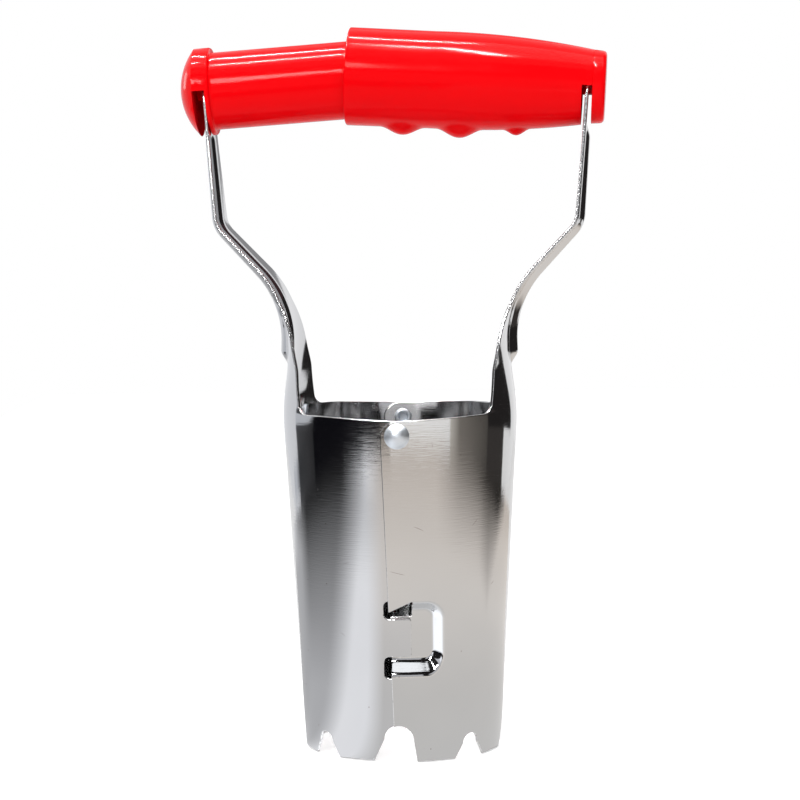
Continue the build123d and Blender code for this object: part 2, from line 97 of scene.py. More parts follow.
def strip_line():
    """The middle of the strip in side view, from the teeth to the tip: places, x, z, leans, bends, length."""
    on_axis = arm_reach + sheet / cos(arm_lean)
    corners = [
        (tooth_radius, 0),
        (rim_radius, rim_height),
        (rim_radius - waist_in, rim_height + waist_rise),
        (rim_radius - elbow_in, rim_height + elbow_rise),
        (on_axis - (handle_height - knee_height) * tan(arm_lean), knee_height),
        (on_axis + tip_rise * tan(arm_lean), handle_height + tip_rise),
    ]
    runs = [(bx - ax, bz - az) for (ax, az), (bx, bz) in zip(corners, corners[1:])]
    leans = [atan2(x, z) for x, z in runs]
    turned_by = [abs(after - before) for before, after in zip(leans, leans[1:])]
    arcs = [bend * turn for bend, turn in zip(arm_bends, turned_by)] + [0.0]
    trims = [0.0] + [bend * tan(turn / 2) for bend, turn in zip(arm_bends, turned_by)] + [0.0]
    places, turns = [0.0], leans[:1]
    leans += leans[-1:]
    for count, (x, z) in enumerate(runs):
        straight = places[-1] + hypot(x, z) - trims[count] - trims[count + 1]
        places += [straight, straight + arcs[count]]
        turns += leans[count:count + 2]
    middles = [(start + end) / 2 for start, end in zip(places[1:-2:2], places[2:-1:2])]
    step = 0.01
    fine = np.arange(0.0, places[-1] + step, step)
    lean = np.interp(fine, places, turns)
    half_way = np.interp(fine + step / 2, places, turns)
    x = tooth_radius + np.concatenate([[0], np.cumsum(np.sin(half_way) * step)[:-1]])
    z = np.concatenate([[0], np.cumsum(np.cos(half_way) * step)[:-1]])
    return fine, x, z, lean, middles, places[-1]


line_place, line_x, line_z, line_lean, bend_middles, line_end = strip_line()
wall_rise = cos(line_lean[0])
rim_place = rim_height / wall_rise
arm_length = line_end - rim_place
waist, elbow, knee = (middle - rim_place for middle in bend_middles[1:])
axis_place = arm_length - tip_rise / cos(arm_lean)
entry_place = axis_place - grip_entry
bead_end = axis_place - bead_stop
foot_turn = asin((foot_half + foot_round) / rim_radius)
width_places = (0.0, elbow, knee, entry_place, axis_place, arm_length)
half_widths = (foot_half, 15.0, 12.0, 9.0, 9.0, 6.0)
curve_places = (0.0, waist, elbow, knee, entry_place, arm_length)
curve_radii = (rim_radius, 43.0, 170.0, 200.0, 900.0, 900.0)


def lap(reach, height, rounding=0):
    """A corner on the sheet's lapped edge: how far past the middle, how high, how round."""
    return -(reach[0] + (reach[1] - reach[0]) * height / rim_height), height, rounding


def pocket_depth(turn, height):
    """How far the sheet is drawn inwards beside the front seam, for the other half's tongue."""
    reach = barrel_radius(height) * np.sin(turn + pi / 2)
    upper = height > (pocket_floor_low + pocket_floor_high) / 2
    rise = np.where(upper, pocket_high - pocket_floor_high, pocket_floor_low - pocket_low) + pocket_corner
    run = pocket_reach - pocket_floor_reach + pocket_corner
    past_end = np.where(upper, height - pocket_floor_high, pocket_floor_low - height) + pocket_corner
    up = np.clip(past_end / rise, 0, None)
    side = np.clip((reach - pocket_floor_reach + pocket_corner) / run, 0, None)
    out = np.hypot(up, side)
    mix = up ** 2 / np.maximum(out ** 2, 1e-9)
    floor_edge = pocket_corner / (rise * mix + run * (1 - mix))
    share = np.clip((1 - out) / (1 - floor_edge), 0, 1)
    spread = 2 * draw_bend * (1 - draw_bend)
    drawn = np.where(share < draw_bend, share ** 2 / spread, (share - draw_bend / 2) / (1 - draw_bend))
    drawn = np.where(share > 1 - draw_bend, 1 - (1 - share) ** 2 / spread, drawn)
    flap_foot = flap_low + (pocket_high - flap_low) * (reach - lap(outer_lap, flap_low)[0]) / flap_run
    on_flap = (reach < flap_reach) & (height > flap_foot - 0.1)
    return np.where((turn < 0) & ~on_flap, pocket_full * drawn, 0.0)


def bead_rise(across, station):
    """The stiffening bead pressed outwards along the middle of the arm."""
    full = eased(np.minimum(station - bead_start, bead_end - station) / bead_end_round)
    half = bead_half * (bead_nose + (1 - bead_nose) * full)
    height = np.interp(station, (bead_start, bead_end), (bead_low_height, bead_top_height))
    return height * full * np.clip(1 - (across / half) ** 2, 0, 1) ** 2


def formed(places):
    """Where places on the flat blank (round the barrel, up the strip) end on the outer face."""
    turn = places[:, 0] / blank_radius
    up = places[:, 1]
    height = up * wall_rise
    x_line = np.interp(up, line_place, line_x)
    z_line = np.interp(up, line_place, line_z)
    radius = barrel_radius(height)
    drawn = radius - pocket_depth(turn, height)
    from_arm = turn - arm_turn
    fade = 1 - eased((np.abs(from_arm) - foot_turn) / foot_fade)
    lean_out = fade * (x_line - radius)
    wall = np.stack([drawn * np.cos(turn) + lean_out * cos(arm_turn),
                     drawn * np.sin(turn) + lean_out * sin(arm_turn),
                     height + fade * (z_line - height)], axis=1)
    station = up - rim_place
    across = rim_radius * np.sin(from_arm)
    curve = 1 / np.interp(station, curve_places, [1 / radius for radius in curve_radii])
    sag = curve * (np.sqrt(np.clip(1 - (across / curve) ** 2, 0, 1)) - 1) + bead_rise(across, station)
    face = np.interp(up, line_place, line_lean) * eased(station / foot_blend)
    out = x_line + np.cos(face) * sag
    arm = np.stack([out * cos(arm_turn) - across * sin(arm_turn),
                    out * sin(arm_turn) + across * cos(arm_turn),
                    z_line - np.sin(face) * sag], axis=1)
    on_arm = (station > 0) & (np.abs(from_arm) < foot_turn + 0.001)
    return np.where(on_arm[:, None], arm, wall)


def unit(rows):
    return rows / np.linalg.norm(rows, axis=1)[:, None]


def face_normals(places):
    nudge = 0.06
    across, along = (formed(places + step) - formed(places - step)
                     for step in (np.array([nudge, 0.0]), np.array([0.0, nudge])))
    return unit(np.cross(across, along))


def at_front(x, z):
    return blank_radius * (-pi / 2 + asin(x / barrel_radius(z))), z / wall_rise


def at_back(x, z):
    return blank_radius * (pi / 2 - asin(x / barrel_radius(z))), z / wall_rise


def on_strip(y, station):
    return blank_radius * (arm_turn + asin(y / rim_radius)), rim_place + station


def rounded_line(corners, step=60.0):
    """A line through (x, z, round) corners, with each corner rounded and long runs divided."""
    nearly_straight = 1.5
    points = [np.array(corner[:2], float) for corner in corners]
    spots = points[:1]
    for before, point, after, corner in zip(points, points[1:], points[2:], corners[1:]):
        rounding = corner[2]
        back = (before - point) / np.linalg.norm(before - point)
        on = (after - point) / np.linalg.norm(after - point)
        half = acos(float(np.clip(back @ on, -1, 1))) / 2
        if rounding <= 0 or half > nearly_straight:
            spots.append(point)
            continue
        middle = point + (back + on) / np.linalg.norm(back + on) * rounding / sin(half)
        start = point + back * rounding / tan(half) - middle
        end = point + on * rounding / tan(half) - middle
        sweep = pi - 2 * half
        count = max(3, int(sweep * rounding / (0.5 * step)) + 1)
        for share in np.linspace(0, 1, count + 1):
            mixed = start * sin((1 - share) * sweep) + end * sin(share * sweep)
            spots.append(middle + mixed / sin(sweep))
    spots.append(points[-1])
    line = [spots[0]]
    for spot in spots[1:]:
        gap = np.linalg.norm(spot - line[-1])
        if gap < 1e-6:
            continue
        shares = np.linspace(0, 1, int(ceil(gap / step)) + 1)[1:]
        line += [line[-1] + (spot - line[-1]) * share for share in shares]
    return [tuple(spot) for spot in line]


def notch_line(turn, sizes, start=0.0, end=pi, step=0.6):
    """Round one notch between two teeth, from its first foot to its last, or part of that."""
    width, height, rounding, lean = sizes
    middle = height - rounding
    arc = [(-rounding * cos(t), middle + rounding * sin(t), 0)
           for t in np.linspace(start, end, 1 + int(ceil(rounding * (end - start) / step)))]
    feet = [(-lean - width / 2, 0.0, 0)] if start == 0 else []
    last = [(-lean + width / 2, 0.0, 0)] if end == pi else []
    turn = radians(turn)
    return [(blank_radius * (turn + asin(x / barrel_radius(z))), z / wall_rise)
            for x, z in rounded_line(feet + arc + last, step)]


def blank_outline(step=0.6):
    """The punched blank's edge: teeth, inner edge with its tongue, rim, arm, rim, outer edge."""
    outer_start = pi - acos(-outer_notch_edge / seam_notch[2])
    inner_end = acos(-inner_notch_edge / seam_notch[2])
    teeth = notch_line(seam_notch_turns[0], seam_notch, start=outer_start)
    for turn in side_notch_turns:
        teeth += notch_line(turn, side_notch)
    teeth += notch_line(seam_notch_turns[1], seam_notch, end=inner_end)
    outer_foot, inner_foot = teeth[0][1] * wall_rise, teeth[-1][1] * wall_rise
    front_foot, back_foot = (rim_radius * cos(foot_turn + turn) for turn in (-arm_turn, arm_turn))
    ear_top = rim_height - rim_dip
    rim = [(0, ear_top, 0), (front_foot - 2 * sheet, rim_height, 0)]
    inner = [lap(inner_lap, inner_foot), lap(inner_lap, slot_low, 0.5),
             (slot_reach, slot_low, slot_round), (slot_reach, tongue_low, slot_round),
             (-tongue_reach, tongue_low, 0.6), (-tongue_reach, tongue_high, 0.6),
             (slot_reach, tongue_high, slot_round), (slot_reach, slot_high, slot_round),
             lap(inner_lap, slot_high, 0.5), lap(inner_lap, ear_top, ear_round),
             *rim, (back_foot, rim_height, 0)]
    outer = [lap(outer_lap, outer_foot), lap(outer_lap, flap_gap, 0.3),
             (flap_reach, flap_gap + 0.2, 0.5), (flap_reach, pocket_high - 0.1, 0.25),
             lap(outer_lap, flap_low, 0.2), lap(outer_lap, ear_top, ear_round),
             *rim, (front_foot, rim_height, 0)]
    edge = []
    for station in np.concatenate([foot_round * (1 - np.cos(np.linspace(0, pi / 2, 9))),
                                   np.arange(foot_round + step, arm_length - 1.1 * tip_round, step)]):
        flare = max(0.0, foot_round - station)
        near = [np.interp(station + shift, width_places, half_widths) for shift in (-4, -2, 0, 2, 4)]
        edge.append((np.mean(near) + foot_round - sqrt(foot_round ** 2 - flare ** 2), station))
    last, tip_half = edge[-1], half_widths[-1]
    tip = rounded_line([(*last, 0), (tip_half, arm_length, tip_round), (-tip_half, arm_length, tip_round),
                        (-last[0], last[1], 0)], step)
    loop = teeth + [at_back(x, z) for x, z in rounded_line(inner, step)[1:-1]]
    loop += [on_strip(y, station) for y, station in edge[:-1] + tip + [(-y, s) for y, s in edge[-2::-1]]]
    loop += [at_front(x, z) for x, z in rounded_line(outer, step)[-2:0:-1]]
    return np.array(loop)


def inset_loop(loop, depth):
    """A closed line moved inwards, to its left, by a depth."""
    back = unit(loop - np.roll(loop, 1, axis=0))
    on = unit(np.roll(loop, -1, axis=0) - loop)
    inwards = unit(np.stack([-(back + on)[:, 1], (back + on)[:, 0]], axis=1))
    square = np.clip(np.sum(inwards * np.stack([-on[:, 1], on[:, 0]], axis=1), axis=1), 0.6, 1)
    return loop + inwards * (depth / square)[:, None]


def inside_loops(spots, *loops):
    """Which spots are inside an odd number of closed lines."""
    inside = np.zeros(len(spots), bool)
    for loop in loops:
        for (ax, ay), (bx, by) in zip(loop, np.roll(loop, -1, axis=0)):
            if ay != by:
                crosses = (spots[:, 1] < ay) != (spots[:, 1] < by)
                inside ^= crosses & (spots[:, 0] < ax + (spots[:, 1] - ay) * (bx - ax) / (by - ay))
    return inside


def lattice(left, right, low, high, across, up):
    """Staggered places over part of the blank."""
    rows = np.arange(low, high, up)
    columns = np.arange(left, right, across)
    return np.array([(column + (across / 2 if row % 2 else 0), height)
                     for row, height in enumerate(rows) for column in columns])


def within(spots, left, right, low, high):
    across, up = spots.T
    return (across > left) & (across < right) & (up > low) & (up < high)


def blank_places(loops):
    """Places over the blank, closer together where the sheet is formed more: pocket, arm and bead."""
    width = radians(100) * blank_radius
    middle, foot = blank_radius * arm_turn, blank_radius * (foot_turn + 0.02)
    foot_reach, knee_reach = 8, 5
    pocket_left, pocket_right, pocket_middle, pocket_bottom, pocket_top = -7, 14.6, 36, 22.5, 49.0
    sides, foot_low = (middle - foot, middle + foot), rim_place - foot_reach
    knee_low, knee_high = rim_place + knee - knee_reach, rim_place + knee + knee_reach
    pocket = (*(at_front(x, pocket_middle)[0] for x in (pocket_left, pocket_right)),
              pocket_bottom / wall_rise, pocket_top / wall_rise)
    bead = (middle - bead_half, middle + bead_half, rim_place + bead_start, rim_place + bead_end)
    wall = lattice(-width, width, 0.5, rim_place, across=1.25, up=1.2)
    arm = np.concatenate([lattice(*sides, foot_low, knee_low, across=0.8, up=0.7),
                          lattice(*sides, knee_low, knee_high, across=0.8, up=0.4),
                          lattice(*sides, knee_high, line_end, across=0.8, up=0.9)])
    spots = np.concatenate([wall[~(within(wall, *pocket) | within(wall, *sides, foot_low, line_end))],
                            lattice(*pocket, across=0.42, up=0.36),
                            arm[~within(arm, *bead)],
                            lattice(*bead, across=0.36, up=0.45)])
    return spots[inside_loops(spots, *loops)]


def pick(piece):
    """Selects one piece alone, for the tools that follow."""
    bpy.ops.object.select_all(action="DESELECT")
    piece.select_set(True)
    bpy.context.view_layer.objects.active = piece


def half_shell(name):
    """Cuts the blank into triangles, forms both faces, and joins them by rounded edges."""
    outline = blank_outline()
    rings = [(outline, inset_loop(outline, edge_round))]
    circle = np.linspace(0, 2 * pi, 28, endpoint=False)
    for place, middle, radius in ((at_front, pivot_height, rivet_hole), (at_back, pivot_height, rivet_hole),
                                  (on_strip, axis_place, peg_hole)):
        rings.append(tuple(np.array([place(r * cos(t), middle + r * sin(t)) for t in circle])
                           for r in (radius, radius + edge_round)))
    loops = [inner for _, inner in rings]
    spots = blank_places(loops)
    edge_places = np.concatenate(loops)
    near_edge = KDTree(len(edge_places))
    for count, place in enumerate(edge_places):
        near_edge.insert((*place, 0), count)
    near_edge.balance()
    edge_clearance, wall_burnish_and_highlight = 0.33, 7
    clear = [near_edge.find((*spot, 0))[2] > edge_clearance for spot in spots]
    edges, start = [], 0
    for loop in loops:
        count = len(loop)
        edges += [(start + i, start + (i + 1) % count) for i in range(count)]
        start += count
    flat = [Vector(place) for place in np.concatenate([edge_places, spots[clear]])]
    places, _, triangles, origins, _, _ = delaunay_2d_cdt(flat, edges, [], 1, 1e-7)
    places = np.array([tuple(p) for p in places])
    centres = np.array([places[list(t)].mean(axis=0) for t in triangles])
    keep = ~inside_loops(centres, *loops[1:])
    triangles = [tuple(t) for t, kept in zip(triangles, keep) if kept]
    where = {source: count for count, sources in enumerate(origins) for source in sources}

    outer, normal = formed(places), face_normals(places)
    vertices, normals = [outer, outer - normal * sheet], [normal, -normal]
    # Drawn pocket walls get a mask: burnished smoother for real, and painted lighter than the plate as a
    # highlight.
    sunk = pocket_depth(places[:, 0] / blank_radius, places[:, 1] * wall_rise) / pocket_full
    drawn = np.tile(np.clip(wall_burnish_and_highlight * sunk * (1 - sunk), 0, 1), 2)
    cut_edge = [np.zeros(2 * len(places))]
    count = len(places)
    faces = triangles + [tuple(count + corner for corner in reversed(t)) for t in triangles]
    total, start = 2 * count, 0
    for edge, inner in rings:
        size = len(inner)
        top = np.array([where[start + i] for i in range(size)])
        start += size
        outwards = formed(edge) - outer[top]
        bands = [top]
        for step, degrees in enumerate((30, 60, 90, 90, 120, 150)):
            turn = radians(degrees)
            depth = edge_round * (1 - cos(turn))
            if step > 2:
                depth = sheet - edge_round * (1 + cos(turn))
            vertices.append(outer[top] + outwards * sin(turn) - normal[top] * depth)
            normals.append(normal[top] * cos(turn) + unit(outwards) * sin(turn))
            cut_edge.append(np.full(size, sin(turn) ** 2))
            bands.append(total + np.arange(size))
            total += size
        bands.append(count + top)
        for above, below in zip(bands, bands[1:]):
            faces += [(above[i], below[i], below[(i + 1) % size], above[(i + 1) % size]) for i in range(size)]
    vertices = (np.concatenate(vertices) - (0, shell_shift, 0)) * MM
    mesh = bpy.data.meshes.new(name)
    mesh.from_pydata(vertices.tolist(), [], [tuple(int(corner) for corner in face) for face in faces])
    cut_edge = np.concatenate(cut_edge)
    for mask, values in (("cut_edge", cut_edge), ("drawn", np.pad(drawn, (0, len(cut_edge) - len(drawn))))):
        mesh.attributes.new(mask, "FLOAT", "POINT").data.foreach_set("value", values)
    shell = bpy.data.objects.new(name, mesh)
    bpy.context.collection.objects.link(shell)
    pick(shell)
    bpy.ops.object.mode_set(mode="EDIT")
    bpy.ops.mesh.select_all(action="SELECT")
    bpy.ops.mesh.fill_holes(sides=12)
    bpy.ops.mesh.select_all(action="SELECT")
    bpy.ops.mesh.normals_make_consistent(inside=False)
    bpy.ops.object.mode_set(mode="OBJECT")
    bpy.ops.object.shade_smooth()
    mesh.normals_split_custom_set_from_vertices(np.concatenate(normals).tolist())
    return shell


def twin(piece, name):
    """A copy of a piece with its own mesh."""
    copy = piece.copy()
    copy.name = name
    copy.data = piece.data.copy()
    bpy.context.collection.objects.link(copy)
    return copy


right_shell = half_shell("right_shell")
left_shell = twin(right_shell, "left_shell")
left_shell.data.transform(Matrix.Rotation(pi, 4, "Z"))
# The left half's plate is tinted a shade cooler and darker than the right's.
for shell, tint_share in ((right_shell, 0.0), (left_shell, 1.0)):
    corners = len(shell.data.vertices)
    shell.data.attributes.new("left_half_tint", "FLOAT", "POINT").data.foreach_set("value", [tint_share] * corners)


class Nodes:
    """Adds nodes to a tree. An input takes a value or an output, and a call gives the node's output."""

    def __init__(self, tree):
        self.tree = tree

    def feed(self, node, sockets):
        for key, value in sockets.items():
            if isinstance(value, bpy.types.NodeSocket):
                self.tree.links.new(value, node.inputs[key])
            else:
                node.inputs[key].default_value = value

    def add(self, kind, sockets=None, out=0, **settings):
        node = self.tree.nodes.new("ShaderNode" + kind)
        for key, value in settings.items():
            setattr(node, key, value)
        self.feed(node, sockets or {})
        return node.outputs if out is None else node.outputs[out]

    def own(self):
        return self.add("TexCoord", out="Object")

    def noise(self, vector, scale, detail):
        return self.add("TexNoise", {"Vector": vector, "Scale": scale, "Detail": detail})

    def maths(self, operation, *values, **settings):
        return self.add("Math", dict(enumerate(values)), operation=operation, **settings)

    def spread(self, value, start, end, low=0.0, high=1.0, **settings):
        sockets = {"Value": value, "From Min": start, "From Max": end, "To Min": low, "To Max": high}
        return self.add("MapRange", sockets, **settings)

    def mix(self, share, first, last, kind="RGBA", **settings):
        sockets = {"Factor": share, "A": first, "B": last}
        return self.add("Mix", sockets, "Result", data_type=kind, **settings)


def new_finish(name):
    """A material, its shader and its nodes."""
    finish = bpy.data.materials.new(name)
    finish.use_nodes = True
    return finish, finish.node_tree.nodes["Principled BSDF"], Nodes(finish.node_tree)


def marks_group():
    """Small specks and hair-fine scratches from use, as masks that change over the surface."""
    group = bpy.data.node_groups.new("handling_marks", "ShaderNodeTree")
    group.interface.new_socket("Coordinates", in_out="INPUT", socket_type="NodeSocketVector")
    group.interface.new_socket("Specks", in_out="OUTPUT", socket_type="NodeSocketFloat")
    group.interface.new_socket("Scratches", in_out="OUTPUT", socket_type="NodeSocketFloat")
    given = group.nodes.new("NodeGroupInput").outputs[0]
    nodes = Nodes(group)
    cells = nodes.add("TexVoronoi", {"Vector": given, "Scale": 330}, None)
    near = nodes.spread(cells["Distance"], 0.075, 0.03)
    few = nodes.maths("GREATER_THAN", nodes.add("SeparateColor", {0: cells["Color"]}), 0.86)
    wander = nodes.maths("SUBTRACT", nodes.noise(given, 42, 0), 0.5)
    hair = nodes.spread(nodes.maths("ABSOLUTE", wander), 0.0022, 0.0003)
    shift = nodes.add("VectorMath", {0: given, 1: (3.1, 1.7, 5.3)}, operation="ADD")
    here = nodes.spread(nodes.noise(shift, 170, 0), 0.66, 0.76)
    nodes.feed(group.nodes.new("NodeGroupOutput"), {"Specks": nodes.maths("MULTIPLY", near, few),
                                                    "Scratches": nodes.maths("MULTIPLY", hair, here)})
    return group


handling_marks = marks_group()

plated, shader, nodes = new_finish("plated_steel")
own = nodes.own()
cut_edge, drawn, tint_share = (nodes.add("Attribute", out="Fac", attribute_name=name)
                         for name in ("cut_edge", "drawn", "left_half_tint"))
marks = nodes.add("Group", {0: own}, None, node_tree=handling_marks)
brush = nodes.noise(nodes.add("Mapping", {"Vector": own, "Scale": (150, 150, 3600)}), 1.0, 4.0)
height_here = nodes.add("SeparateXYZ", {0: own}, "Z")
on_barrel = nodes.spread(height_here, 0.112, 0.097, interpolation_type="SMOOTHSTEP")
satin = nodes.spread(brush, 0, 1, 0.035, 0.11)
finish_here = nodes.mix(on_barrel, 0.085, satin, "FLOAT")
burnished = nodes.mix(drawn, finish_here, 0.06, "FLOAT")
sheared = nodes.mix(cut_edge, burnished, 0.18, "FLOAT")
dulled = nodes.maths("MULTIPLY_ADD", marks["Scratches"], 0.25, sheared)
grain = nodes.maths("MULTIPLY", brush, on_barrel)
shear_marks = nodes.noise(own, 2800, 1)
torn = nodes.maths("MULTIPLY", shear_marks, cut_edge)
height = nodes.maths("MULTIPLY_ADD", torn, 8.0, grain)
relief = nodes.add("Bump", {"Strength": 1.0, "Distance": 0.000006, "Height": height})
plate_tone = nodes.mix(nodes.noise(own, 35, 2), (0.58, 0.58, 0.58, 1), (0.66, 0.655, 0.65, 1))
# The left half is tinted a shade cooler and darker.
tinted_plate = nodes.mix(tint_share, plate_tone, (0.97, 0.98, 1.0, 1), blend_type="MULTIPLY")
# Painted highlight: the drawn pocket walls are painted lighter than the plate, on top of their real burnish
# in the roughness.
burnish_and_painted_highlight = nodes.mix(drawn, tinted_plate, (0.86, 0.88, 0.91, 1))
edge_tone = nodes.mix(cut_edge, burnish_and_painted_highlight, nodes.spread(shear_marks, 0.36, 0.5, 0.3, 0.88))
marked = nodes.maths("MAXIMUM", marks["Specks"], marks["Scratches"])
worn = nodes.mix(nodes.maths("MULTIPLY", marked, 0.75), edge_tone, (0.20, 0.13, 0.12, 1))
nodes.feed(shader, {"Base Color": worn, "Metallic": 1.0, "Roughness": dulled, "Normal": relief})

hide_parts("right_half_shell")
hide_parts("left_half_shell")
for shell, body in ((right_shell, "right_half"), (left_shell, "left_half")):
    shell.data.materials.append(plated)
    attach(shell, body)

# Pivot rivets. Two semi-tubular steel rivets, bright zinc over cold-headed wire: a domed head outside, and
# the tube end rolled over against the inner sheet. Both halves turn on them, and they move with the right.
rivet_radius = 2.0
rivet_head, rivet_head_height, rivet_head_edge = 3.65, 1.9, 0.12
rivet_roll, rivet_roll_height = 2.6, 1.2
rivet_bore, rivet_bore_depth = 1.3, 2.0
rivet_seat_gap = 0.1


def started(name, primitive, **settings):
    """A new piece from a primitive, with nothing else selected."""
    bpy.ops.object.select_all(action="DESELECT")
    primitive(**settings)
    piece = bpy.context.object
    piece.name = piece.data.name = name
    return piece


def turned(name, line, steps):
    """A piece turned about its own Z axis from a line of (radius, height) points in millimetres."""
    piece = started(name, bpy.ops.mesh.primitive_plane_add, size=MM)
    bpy.ops.object.mode_set(mode="EDIT")
    bpy.ops.mesh.select_all(action="SELECT")
    bpy.ops.mesh.merge(type="CENTER")
    bpy.ops.transform.translate(value=(line[0][0] * MM, 0, line[0][1] * MM))
    for before, after in zip(line, line[1:]):
        step = ((after[0] - before[0]) * MM, 0, (after[1] - before[1]) * MM)
        bpy.ops.mesh.extrude_region_move(TRANSFORM_OT_translate={"value": step})
    bpy.ops.mesh.select_all(action="SELECT")
    bpy.ops.mesh.spin(steps=steps, angle=2 * pi, center=(0, 0, 0), axis=(0, 0, 1))
    bpy.ops.mesh.select_all(action="SELECT")
    bpy.ops.mesh.remove_doubles(threshold=2e-6)
    bpy.ops.mesh.normals_make_consistent(inside=False)
    bpy.ops.object.mode_set(mode="OBJECT")
    return piece


def smooth(piece, angle=40):
    pick(piece)
    bpy.ops.object.shade_smooth_by_angle(angle=radians(angle))


def dome_points(radius, height, edge, count):
    """A shallow dome's line from its top, as (radius, drop) points, to an edge short of its radius."""
    ball = (radius ** 2 + height ** 2) / (2 * height)
    last = asin((radius - edge) / ball)
    return [(ball * sin(t), ball * (1 - cos(t))) for t in np.linspace(0, last, count)]


head_seat = barrel_radius(pivot_height + rivet_head) + shell_shift
low_bore = barrel_radius(pivot_height - rivet_roll) - sheet
roll_seat = sqrt(low_bore ** 2 - rivet_roll ** 2) - shell_shift - rivet_seat_gap
roll_round = (rivet_roll - rivet_bore) / 2
roll_end = roll_seat - rivet_roll_height
rivet_line = [(radius, head_seat + rivet_head_height - drop)
              for radius, drop in dome_points(rivet_head, rivet_head_height, rivet_head_edge, 14)]
rivet_line += [(rivet_head, head_seat + 0.10), (rivet_head - 0.03, head_seat + 0.03),
               (rivet_head - 0.1, head_seat), (rivet_radius, head_seat), (rivet_radius, roll_seat),
               (rivet_roll, roll_seat)]
rivet_line += [(rivet_bore + roll_round * (1 + cos(t)), roll_end + roll_round * (1 - sin(t)))
               for t in np.linspace(0, pi, 13)]
rivet_line += [(rivet_bore, roll_end + rivet_bore_depth), (0, roll_end + rivet_bore_depth)]
front_rivet = turned("front_rivet", rivet_line, 48)
smooth(front_rivet)
rear_rivet = twin(front_rivet, "rear_rivet")


def clouded_finish(name, scale, detail, dark, light, glossy, dull, grain=None, **constants):
    """A finish whose tone and gloss change in clouds, with a fine grain if it has one."""
    finish, shader, nodes = new_finish(name)
    cloud = nodes.noise(nodes.own(), scale, detail)
    nodes.feed(shader, {"Base Color": nodes.mix(cloud, (*dark, 1), (*light, 1)),
                        "Roughness": nodes.spread(cloud, 0, 1, glossy, dull), **constants})
    if grain:
        relief = nodes.add("Bump", {"Strength": 1.0, "Distance": grain, "Height": cloud})
        nodes.feed(shader, {"Normal": relief})
    return finish


zinc = clouded_finish("rivet_zinc", 900, 4, (0.66, 0.71, 0.77), (0.84, 0.88, 0.92), 0.34, 0.52,
                      grain=0.00002, Metallic=1.0)
for rivet, side, node in ((front_rivet, -1, "front_pivot_rivet"), (rear_rivet, 1, "rear_pivot_rivet")):
    outwards = Matrix(((1, 0, 0, 0), (0, 0, side, 0), (0, -side, 0, pivot_height * MM), (0, 0, 0, 1)))
    rivet.data.transform(outwards)
    rivet.data.materials.append(zinc)
    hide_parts(node)
    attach(rivet, "right_half")

# Tube. The left grip: glossy red plastic, moulded with a collar at the arm, a recess that is open below for
# the arm's end, and a slimmer end that slides in the sleeve. The end cap's peg holds it on the arm.
tube_radius, tube_bore, tube_slim = 11.45, 9.45, 10.85
tube_step, tube_end = 42.4, 54.6
tube_face, tube_gap, bulkhead = 3.2, 0.5, 3.0
collar_radius, collar_front = 13.0, 1.7
spigot_radius, spigot_length = 3.4, 6.0
peg_radius, peg_length, socket_depth, socket_back = 2.5, 5.5, 5.9, 6.0
recess_half, recess_tip_half, recess_high = 9.4, 6.4, 7.4
sleeve_tilt = radians(3.25)
sleeve_length, mouth_drop = 70.4, 1.2
tube_tilt = asin((sleeve_length * sin(sleeve_tilt) - mouth_drop) / (2 * arm_reach - sleeve_length))


def grip_frame(side, tilt):
    """A grip's own frame: X up, Z along its axis from the arm towards the middle."""
    across = arm_reach * sin(arm_turn) - shell_shift
    at_arm = Vector((side * arm_reach * cos(arm_turn), side * across, handle_height)) * MM
    level = Vector((-at_arm.x, -at_arm.y, 0)).normalized()
    up = Vector((0, 0, 1))
    along = level * cos(tilt) + up * sin(tilt)
    upright = up * cos(tilt) - level * sin(tilt)
    turn = Matrix((upright, along.cross(upright), along)).transposed().to_4x4()
    return Matrix.Translation(at_arm) @ turn


tube_place, sleeve_place = grip_frame(-1, tube_tilt), grip_frame(1, sleeve_tilt)


def solid_box(name, low, high):
    """A cutter: a block between two corners, in millimetres."""
    block = started(name, bpy.ops.mesh.primitive_cube_add, size=1)
    for vertex in block.data.vertices:
        vertex.co = [MM * (low[axis] if vertex.co[axis] < 0 else high[axis]) for axis in range(3)]
    return block


def cut(piece, tool):
    """Cuts a tool's shape out of a piece, clears the tool, and merges the slivers that this leaves."""
    change = piece.modifiers.new("cut", "BOOLEAN")
    change.operation, change.object, change.solver = "DIFFERENCE", tool, "EXACT"
    pick(piece)
    bpy.ops.object.modifier_apply(modifier=change.name)
    bpy.data.objects.remove(tool)
    bpy.ops.object.mode_set(mode="EDIT")
    bpy.ops.mesh.select_all(action="SELECT")
    bpy.ops.mesh.remove_doubles(threshold=2e-5)
    bpy.ops.mesh.dissolve_degenerate(threshold=2e-5)
    bpy.ops.object.mode_set(mode="OBJECT")


def cut_arm_recess(piece, face, gap):
    """The recess for the arm's end: open below the axis, and a narrowing pocket above it."""
    far, past = 30, 1
    cut(piece, solid_box("slot_cutter", (-far, -far, -face - past), (0, far, gap)))
    pocket = solid_box("tip_cutter", (-past, -recess_half, -face - past), (recess_high, recess_half, gap))
    for vertex in pocket.data.vertices:
        if vertex.co.x > 0:
            vertex.co.y *= recess_tip_half / recess_half
    cut(piece, pocket)
    middle = (socket_depth - socket_back) / 2
    hole = started("peg_cutter", bpy.ops.mesh.primitive_cylinder_add, vertices=40, radius=peg_radius * MM,
                   depth=(socket_depth + socket_back) * MM, location=(0, 0, middle * MM))
    bpy.ops.object.transform_apply()
    cut(piece, hole)


